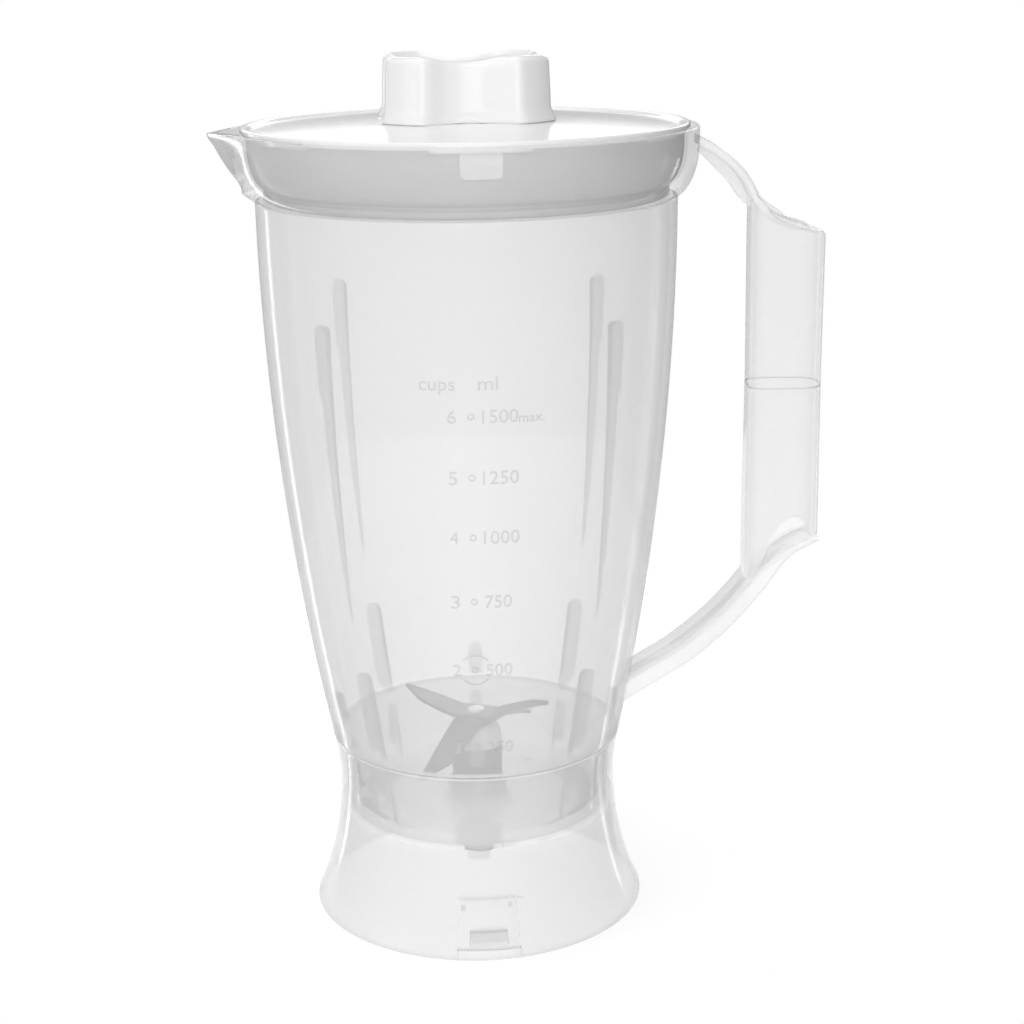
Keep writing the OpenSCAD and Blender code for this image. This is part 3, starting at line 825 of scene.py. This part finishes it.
# ---------------- skirt
def build_skirt():
    window = (TONGUE_AZ - TONGUE_HALF - 0.6, TONGUE_AZ + TONGUE_HALF + 0.6)
    low_z, high_z = 3.0, 19.5
    flare = np.unique(np.concatenate([np.linspace(1.2, SKIRT_TOP - 1.0, 44), [low_z, high_z]]))
    inside = np.unique(np.concatenate([np.linspace(low_z, LEDGE_Z - LEDGE_T - 1.5, 22), [high_z]]))
    outline = np.vstack([
        [(FOOT_R - 2.6, 0.3), (FOOT_R - 2.3, 0), (FOOT_R - 0.5, 0), (FOOT_R - 0.05, 0.35)],
        side(skirt_r, flare),
        rounded([(skirt_r(SKIRT_TOP) - 0.1, SKIRT_TOP - 0.8, 0), (skirt_r(SKIRT_TOP), SKIRT_TOP, 0.8),
                 (SPIGOT_TOP_R + 0.35, SKIRT_TOP, 0.5), (spigot_r(LEDGE_Z) + 0.35, LEDGE_Z, 1.2),
                 (LEDGE_R, LEDGE_Z, 0.4), (LEDGE_R, LEDGE_Z - LEDGE_T, 0.4),
                 (skirt_r(LEDGE_Z - LEDGE_T) - SKIRT_WALL, LEDGE_Z - LEDGE_T, 1.5),
                 (skirt_r(inside[-1]) - SKIRT_WALL, inside[-1], 0)], closed=False),
        side(skirt_r, inside, SKIRT_WALL)[::-1][1:],
    ])
    around = np.arange(-180, 180, 2.5)
    around = around[(around <= window[0] - 1) | (around >= window[1] + 1)]
    azimuths = np.sort(np.concatenate([around, np.linspace(*window, 10).round(3)]))
    skirt = lathe("skirt_shell", outline, [CLEAR, CLEAR_IN, LEDGE, SKIRT_RIM_PAINTED_HIGHLIGHT, SLEEVE], azimuths)
    cut_window(skirt, window, low_z, high_z)
    slot = [(40.6, 30), (43.9, 30), (43.9, 38), (40.6, 38)]
    way_out = [(38.1, 29), (44.3, 29), (44.3, 39), (38.1, 39)]
    for az in HOOK_AZS:
        az_from, az_to = az - HOOK_HALF - 1.5, az + JUG_TURN + HOOK_HALF + 1.5
        boolean(skirt, sector("slot", slot, az_from, az_to, [CLEAR], 14), "DIFFERENCE")
        boolean(skirt, sector("slot", way_out, az_to - 13, az_to, [CLEAR], 8), "DIFFERENCE")

    def look(face, radius, height):
        inside = faces_axis(face)
        outer = radius > skirt_r(height) - 0.5 and not inside and height < SKIRT_TOP - 0.6
        # The rim's top faces get the painted highlight.
        if height > SKIRT_TOP - 0.6 and radius > SPIGOT_TOP_R + 0.3:
            return SKIRT_RIM_PAINTED_HIGHLIGHT
        if (height > LEDGE_Z - LEDGE_T - 0.5 and not outer) or faces_sideways(face):
            return LEDGE
        if outer and height > JUG_BOTTOM:
            return SLEEVE
        return CLEAR_IN if inside else CLEAR

    paint(skirt, look)
    finish_shading(skirt)
    place(skirt, "base", "clear_plastic", "base_skirt")


def build_skirt_marks():
    """Shallow marks on the skirt: an arc and a tick at the jug's foot, and lines round the latch."""
    left, right = TONGUE_AZ - TONGUE_HALF, TONGUE_AZ + TONGUE_HALF
    patches = [(-80.7, -80.3, 36.0, 39.2), (left - 0.5, left - 0.1, 0.5, 3.4),
               (right + 0.1, right + 0.5, 0.5, 3.4), (left + 0.4, left + 2.2, 15.6, 17.4),
               (right - 3.0, right - 1.6, 16.6, 18.0), (right + 0.6, right + 3.0, 19.0, 19.3)]
    marks = []
    for az_from, az_to, low, high in patches:
        rows = np.linspace(low, high, 4)
        outline = [(skirt_r(z) + 0.1, z) for z in rows] + [(skirt_r(z) - 0.3, z) for z in rows[::-1]]
        marks.append(sector("mark", outline, az_from, az_to, [GROOVE], 4))
    arc_az, arc_half, arc_z = -89, 6, 36.9
    turns = np.linspace(arc_az - arc_half, arc_az + arc_half, 17)
    points = []
    for az in turns:
        a = math.radians(az)
        thick = 0.75 * math.cos((az - arc_az) / (arc_half + 0.3) * math.pi / 2)
        sag = 0.5 * (1 - ((az - arc_az) / arc_half) ** 2)
        for out, up in ((0.1, 0.05), (-0.3, 0.05), (-0.3, -thick), (0.1, -thick)):
            z = arc_z - sag + up
            r = skirt_r(z) + out
            points.append((r * math.cos(a), r * math.sin(a), z))
    arc = add_mesh("skirt_marks", points, tube_faces(len(turns), 4), [GROOVE])
    place(join_meshes(arc, marks), "base", "clear_plastic")


def cut_window(obj, window, low_z, high_z):
    """Opens a window through a turned shell and closes the edge between its two skins."""
    bm = bmesh.new()
    bm.from_mesh(obj.data)
    gone = []
    for face in bm.faces:
        centre = face.calc_center_median() / MM
        az = math.degrees(math.atan2(centre.y, centre.x))
        if window[0] < az < window[1] and low_z < centre.z < high_z:
            gone.append(face)
    bmesh.ops.delete(bm, geom=gone, context="FACES")
    edge = [e for e in bm.edges if e.is_boundary]
    bmesh.ops.bridge_loops(bm, edges=edge)
    bmesh.ops.recalc_face_normals(bm, faces=bm.faces)
    bm.to_mesh(obj.data)
    bm.free()


def build_tongue():
    """Sprung plate in the skirt's window, with a bar to press."""
    low_z, high_z = 3.5, 18.9
    bar_half, bar_low, bar_high, bar_edge = 6.8, 4.6, 9.4, 0.5
    cols = np.unique(np.concatenate([np.linspace(-TONGUE_HALF, TONGUE_HALF, 30), [
        -bar_half, -bar_half + bar_edge, bar_half - bar_edge, bar_half]]))
    rows = np.unique(np.concatenate([np.linspace(low_z, high_z, 18), [
        bar_low, bar_low + bar_edge / 2, bar_low + bar_edge,
        bar_high - bar_edge, bar_high - bar_edge / 2, bar_high]]))

    def proud(u, z):
        across = smooth((bar_half - np.abs(u)) / bar_edge)
        along = smooth((z - bar_low) / bar_edge) * smooth((bar_high - z) / bar_edge)
        return 1.2 * across * along

    u, z = np.meshgrid(cols, rows)
    a = np.radians(TONGUE_AZ + u)
    skins = []
    for r in (skirt_r(z) + proud(u, z), skirt_r(z) - SKIRT_WALL):
        skins.append(polar(r, a, z).reshape(-1, 3))
    count = len(rows) * len(cols)
    faces = grid_faces(len(rows), len(cols), False, False)
    faces += grid_faces(len(rows), len(cols), False, False, start=count)
    rim = list(range(len(cols)))
    rim += [i * len(cols) + len(cols) - 1 for i in range(1, len(rows))]
    rim += [(len(rows) - 1) * len(cols) + j for j in range(len(cols) - 2, -1, -1)]
    rim += [i * len(cols) for i in range(len(rows) - 2, 0, -1)]
    faces += [(a0, b0, b0 + count, a0 + count) for a0, b0 in zip(rim, rim[1:] + rim[:1])]
    tongue = add_mesh("latch_plate", np.vstack(skins), faces, [PANEL, CLEAR_IN, BAR])

    def look(face, radius, height):
        across = math.degrees(math.atan2(face.center.y, face.center.x)) - TONGUE_AZ
        if abs(across) < bar_half and bar_low < height < bar_high:
            return BAR
        edge = faces_sideways(face) or abs(face.normal.z) > 0.7
        return CLEAR_IN if edge or faces_axis(face) else PANEL

    paint(tongue, look)
    place(tongue, "tongue", "clear_plastic", "latch_tongue")


# ---------------- lid and cap
def build_lid():
    plug_z = lerp(NECK_TOP, SEAT_Z - 1.0, np.linspace(0, 1, 14) ** 1.4)
    inner_z = plug_z[::-1]
    dome_r = np.linspace(LID_R - DOME_EDGE, FILLER_R + 1, 16)
    dome_z = LID_TOP - DOME_DROP * ((dome_r - FILLER_R) / (LID_R - DOME_EDGE - FILLER_R)) ** 1.6
    under_r = dome_r[::-1][4:]
    seal_r = PLUG_R - 0.6
    outline = np.vstack([
        rounded([(PLUG_R - 2, PLUG_BOTTOM, 0.5), (PLUG_R, PLUG_BOTTOM, 0.5), (PLUG_R, PLUG_BOTTOM + 0.6, 0.1),
                 (seal_r, PLUG_BOTTOM + 0.7, 0.1), (seal_r, PLUG_BOTTOM + 2.5, 0.1),
                 (PLUG_R, PLUG_BOTTOM + 2.6, 0.1), (PLUG_R, NECK_TOP - 0.6, 0)], closed=False),
        side(collar_inside, plug_z, PLUG_GAP),
        rounded([(COLLAR_IN_R - PLUG_GAP, SEAT_Z - 0.6, 0), (COLLAR_IN_R - PLUG_GAP, SEAT_Z, 0.3),
                 (LID_R, SEAT_Z, 0.5), (LID_R, SEAT_Z + 3.4, 0.9), (LID_R - 2.4, SEAT_Z + 3.4, 0.8),
                 (LID_R - 3.6, SEAT_Z + 2.2, 0.7), (dome_r[0], dome_z[0], 0)], closed=False),
        np.column_stack((dome_r, dome_z))[1:],
        rounded([(FILLER_R + 1, LID_TOP, 0), (FILLER_R, LID_TOP, 0.7), (FILLER_R, LID_TOP - 10, 0.6),
                 (FILLER_R + 2, LID_TOP - 10, 0.6), (FILLER_R + 2, LID_TOP - 2.4, 1.0),
                 (FILLER_R + 5, LID_TOP - 2.2, 0)], closed=False),
        np.column_stack((under_r, np.interp(under_r, dome_r[::-1], dome_z[::-1]) - 2.1)),
        np.column_stack((np.minimum(collar_inside(inner_z) - PLUG_GAP - 2,
                                    collar_inside(SEAT_Z) - PLUG_GAP - 3), inner_z - 1)),
    ])
    steps = np.array([11.4, 11.8, 12.2, 12.6, 44.5, 45, 45.5, 46])
    azimuths = np.unique(np.concatenate([np.arange(-180, 180, 2.5), LID_FRONT_AZ - steps,
                                         LID_FRONT_AZ + steps]))

    def shape(r, z, az):
        away = np.abs(az - LID_FRONT_AZ)
        layers = smooth((45.5 - away) / 0.6) + smooth((12.4 - away) / 0.8)
        lip = (r > LID_R - 0.6) & (z < SEAT_Z + 1.2)
        return np.where(lip, r + 0.2 * layers, r), np.where(lip, z + 1.7 - 0.8 * layers, z), az

    lid = lathe("lid_shell", outline, [WHITE, PLUG_PAINTED_SHADE], azimuths, shape)
    # Faces below the seat get the darker plug grey, painted shade under the rim.
    paint(lid, lambda face, radius, height: PLUG_PAINTED_SHADE if height < SEAT_Z - 0.2 else WHITE)
    join_meshes(lid, [lid_tab()])
    finish_shading(lid)
    place(lid, "lid", "white_plastic", "lid")


def lid_tab():
    """Small tab with round lower corners that hangs from the front of the lid's rim."""
    half, high, thick, corner = 6.3, 8.0, 1.5, 1.8
    top_z = SEAT_Z + 0.4
    flat = rounded([(-half, 0, 0), (-half, -high, corner), (half, -high, corner), (half, 0, 0)], steps=6)
    radius = COLLAR_IN_R - PLUG_GAP - 0.2
    points = []
    for r in (radius - thick, radius + 0.9):
        for x, up in flat:
            a = math.radians(LID_FRONT_AZ) + x / radius
            points.append((r * math.cos(a), r * math.sin(a), top_z + up))
    return add_mesh("lid_tab", points, tube_faces(2, len(flat)), [WHITE])


def knob_radius(azimuths):
    """Radius of the knob's outline: a circle with four round scoops whose edges are worn round."""
    distance, scoop, soft, step = 43.0, 21.4, 3.0, 0.5
    turns = np.radians((np.arange(0, 360, step) + 45) % 90 - 45)
    root = np.maximum(scoop**2 - (distance * np.sin(turns)) ** 2, 0)
    radius = np.where(root > 0, np.minimum(distance * np.cos(turns) - np.sqrt(root), KNOB_R), KNOB_R)
    reach = np.arange(-20, 20 + step, step)
    weights = np.exp(-((reach / soft) ** 2) / 2)
    padded = np.concatenate([radius[-len(reach) // 2 + 1 :], radius, radius[: len(reach) // 2]])
    worn = np.convolve(padded, weights / weights.sum(), mode="valid")[: len(radius)]
    return np.interp((azimuths - CAP_TURN) % 360, np.arange(0, 360, step), worn, period=360)


def build_cap():
    azimuths = np.arange(0, 360, 1.5)
    turns = np.radians(azimuths)
    foot, dish, corner, lean = LID_TOP + 0.1, 4.4, 2.6, 0.5
    edge = knob_radius(azimuths)

    def dished(radius):
        return CAP_TOP - dish * (1 - (radius / KNOB_R) ** 2)

    rows = []

    def row(radius, z):
        rows.append(polar(radius, turns, z))

    neck_r, wall = FILLER_R - 0.8, 2.0
    for share in (0.02, 0.4, 0.8, 1):
        row(15.5 * share, CAP_TOP - 9.5)
    neck = [(16.2, foot + 1.5), (neck_r - wall, foot - 1.5), (neck_r - wall, LID_TOP - 12.5),
            (neck_r - wall + 0.5, LID_TOP - 13.0), (neck_r - 0.6, LID_TOP - 13.0), (neck_r, LID_TOP - 12.4),
            (neck_r, LID_TOP - 9.1), (neck_r - 0.6, LID_TOP - 9.0), (neck_r - 0.6, LID_TOP - 7.0),
            (neck_r, LID_TOP - 6.9), (neck_r, foot - 0.2)]
    for radius, z in neck:
        row(radius, z)
    for out, up in ((1.4, -0.2), (1.8, 0.2), (1.7, 0.9), (1.1, 1.7)):
        row(np.maximum(edge + out, neck_r + 0.1 + 0.1 * out), foot + up)
    for t in np.linspace(0, 1, 8):
        row(edge + 0.9 * (1 - t) ** 3, foot + 2.2 + 4.5 * t)
    for t in np.linspace(0.15, 1, 8):
        row(edge - lean * t, lerp(foot + 6.7, dished(edge) - corner, t))
    for a in np.linspace(0, math.pi / 2, 9)[1:]:
        row(edge - lean - corner * (1 - math.cos(a)), dished(edge) - corner * (1 - math.sin(a)))
    inner = edge - lean - corner
    for share in np.linspace(1, 0.02, 14)[1:]:
        row(inner * share, dished(inner * share) - 0.35 * smooth((1 - share) * 8))
    faces = tube_faces(len(rows), len(azimuths))
    cap = add_mesh("cap_knob", np.array(rows).reshape(-1, 3), faces, [WHITE], 40)
    place(cap, "cap", "white_plastic", "filler_cap")


# ---------------- blades
BLADE_REACH = 28.0
BLADE_T = 1.5
FOLD_X = 6.5
# Azimuth of the first wing, and the tilt of each wing, in degrees.
UPPER_BLADE = (162, (16, 20))
LOWER_BLADE = (54, (-14, -34))


def wing_points(tilt):
    """Sections of one wing along +X: tip on the -Y side, ground along the edge that leads."""
    bend = [0.0, 4.0, FOLD_X - 0.8, FOLD_X, FOLD_X + 0.8]
    wing = [9.0, 12.6, 16.5, 20.2, 23.0, 25.6, BLADE_REACH * 0.985]
    sections = []
    for x in bend + wing:
        back = np.interp(x, [0, FOLD_X, 12.6, 20.2, BLADE_REACH], [5.5, 5.5, 4.95, 3.0, -4.3])
        front = -np.interp(x, [0, FOLD_X, 16, BLADE_REACH], [5.5, 5.5, 5.4, 4.6])
        low = max(x - FOLD_X, 0) * math.tan(math.radians(tilt))
        high = low + BLADE_T
        past_hub = smooth((x - 7.5) / 3)
        ground = 2.6 * past_hub * min(1, (back - front) / 5)
        thin = lerp(BLADE_T * 0.45, 0.12, past_hub)
        back = max(back, front + 0.3)
        sections.append([(x, front, high), (x, front, high - thin if ground > 0 else low),
                         (x, front + max(ground, 0.05), low), (x, back - 0.2, low), (x, back, low + 0.2),
                         (x, back, high - 0.2), (x, back - 0.2, high)])
    return sections


def build_blade(name, node, low_z, az, tilts):
    points, faces = [], []
    for half, tilt in enumerate(tilts):
        sections = wing_points(tilt)
        turn = Matrix.Rotation(math.radians(az + 180 * half), 3, "Z")
        start = len(points)
        for section in sections:
            points += [turn @ Vector(p) + Vector((0, 0, low_z)) for p in section]
        faces += tube_faces(len(sections), len(sections[0]), start)
    blade = add_mesh(name, points, faces, [BLADE], 25)
    place(blade, "rotor", "blade_steel", node)


# ---------------- camera, light and floor
# The room's light is brightest in front and darkest behind: its level, and its change along +X, +Y, +Z.
ROOM_LEVEL = 0.50
ROOM_SLOPE = (-0.04, -0.36, 0.14)
# Soft boxes: place, width and height in metres, and brightness. All face one point. The back box and the
# two strips behind the jug make the lines of light on its walls.
PANELS = {
    "left_box": ((-0.9, -0.45, 0.55), 0.5, 0.9, 0.6),
    "front_box": ((0.1, -1.3, 0.55), 0.9, 0.9, 1.7),
    "back_box": ((0, 1.2, 0.64), 1.4, 0.36, 2.1),
    "left_strip": ((-0.72, 0.69, -0.1), 0.06, 1.1, 8.0),
    "right_strip": ((0.84, 0.54, -0.1), 0.05, 1.1, 8.0),
    "top_box": ((-0.1, 0.1, 1.1), 0.8, 0.8, 1.3),
}
PANELS_FACE = (0, 0, 0.14)
# Floor: half its width, half its depth and its height, and a glow that makes it as white as the backdrop.
FLOOR = (95, 700, -0.2)
FLOOR_GLOW = 0.52
# Dark card beside the cap, for the shade on the cap's right side: its x, span of y and span of z.
FLAG = (210, (-150, 120), (235, 420))
# Camera: place in metres, then yaw, pitch and roll in degrees, and focal length in millimetres.
CAMERA_AT = (0, -0.6633, 0.3247)
CAMERA_TURN = (1.17, 15.57, -0.76)
CAMERA_LENS = 70.31


def panel(name, where, width, height, brightness):
    """Soft box whose face is that bright; the camera doesn't see it, glossy surfaces do."""
    data = bpy.data.lights.new(name, "AREA")
    data.shape = "RECTANGLE"
    data.size, data.size_y = width, height
    data.energy = brightness * math.pi * width * height
    obj = new_object(name, data)
    obj.location = where
    obj.visible_camera = False
    obj.rotation_mode = "QUATERNION"
    obj.rotation_quaternion = (Vector(PANELS_FACE) - obj.location).to_track_quat("-Z", "Y")


def build_stage():
    """White backdrop for the camera, dim room for every other ray, soft boxes, dark card and floor."""
    scene = bpy.context.scene
    scene.view_settings.view_transform = "Standard"
    scene.world = bpy.data.worlds.new("studio")
    scene.world.use_nodes = True
    tree = scene.world.node_tree
    tree.nodes.clear()
    add, link = tree.nodes.new, tree.links.new
    output = add("ShaderNodeOutputWorld")
    mix = add("ShaderNodeMixShader")
    path = add("ShaderNodeLightPath")
    room = add("ShaderNodeBackground")
    backdrop = add("ShaderNodeBackground")
    for background in (room, backdrop):
        background.inputs["Color"].default_value = (1, 1, 1, 1)
    direction = add("ShaderNodeTexCoord")
    level = add("ShaderNodeVectorMath")
    level.operation = "DOT_PRODUCT"
    level.inputs[1].default_value = ROOM_SLOPE
    brightness = add("ShaderNodeMath")
    brightness.inputs[1].default_value = ROOM_LEVEL
    link(direction.outputs["Generated"], level.inputs[0])
    link(level.outputs["Value"], brightness.inputs[0])
    link(brightness.outputs["Value"], room.inputs["Strength"])
    link(path.outputs["Is Camera Ray"], mix.inputs["Fac"])
    link(room.outputs["Background"], mix.inputs[1])
    link(backdrop.outputs["Background"], mix.inputs[2])
    link(mix.outputs["Shader"], output.inputs["Surface"])

    for name, sizes in PANELS.items():
        panel(name, *sizes)
    x, (near, far), (low, high) = FLAG
    flag = add_mesh("flag", [(x, near, low), (x, far, low), (x, far, high), (x, near, high)],
                    [(0, 1, 2, 3)], [RUBBER])
    flag.visible_camera = False
    material = finish("pale_floor", grey(0.58), grey(0.60), (0.7, 0.8), grain=40, ripple=20, bump=0.0)
    shader = material.node_tree.nodes["Principled BSDF"]
    shader.inputs["Emission Color"].default_value = (1, 1, 1, 1)
    shader.inputs["Emission Strength"].default_value = FLOOR_GLOW
    wide, deep, under = FLOOR
    corners = [(-wide, -deep, under), (wide, -deep, under), (wide, deep, under), (-wide, deep, under)]
    add_mesh("floor", corners, [(0, 1, 2, 3)], [material])


def build_camera():
    """Camera in front of the scale, a little above the lid, as the jug was pictured."""
    yaw, pitch, roll = (math.radians(turn) for turn in CAMERA_TURN)
    forward = Vector((math.sin(yaw) * math.cos(pitch), math.cos(yaw) * math.cos(pitch), -math.sin(pitch)))
    level = Vector((math.cos(yaw), -math.sin(yaw), 0))
    upright = level.cross(forward)
    right = level * math.cos(roll) + upright * math.sin(roll)
    up = -level * math.sin(roll) + upright * math.cos(roll)
    data = bpy.data.cameras.new("camera")
    data.lens = CAMERA_LENS
    data.sensor_width = 36
    data.clip_start = 0.01
    camera = new_object("camera", data)
    turned = Matrix((right, up, -forward)).transposed().to_4x4()
    camera.matrix_world = Matrix.Translation(CAMERA_AT) @ turned
    bpy.context.scene.camera = camera


build_camera()
build_stage()
dress_cad_nodes()
build_jug()
build_scale()
build_handle()
build_skirt()
build_tongue()
build_skirt_marks()
build_lid()
build_cap()
build_blade("upper_blade_steel", "upper_blade", hub_high, *UPPER_BLADE)
build_blade("lower_blade_steel", "lower_blade", hub_low - BLADE_T, *LOWER_BLADE)
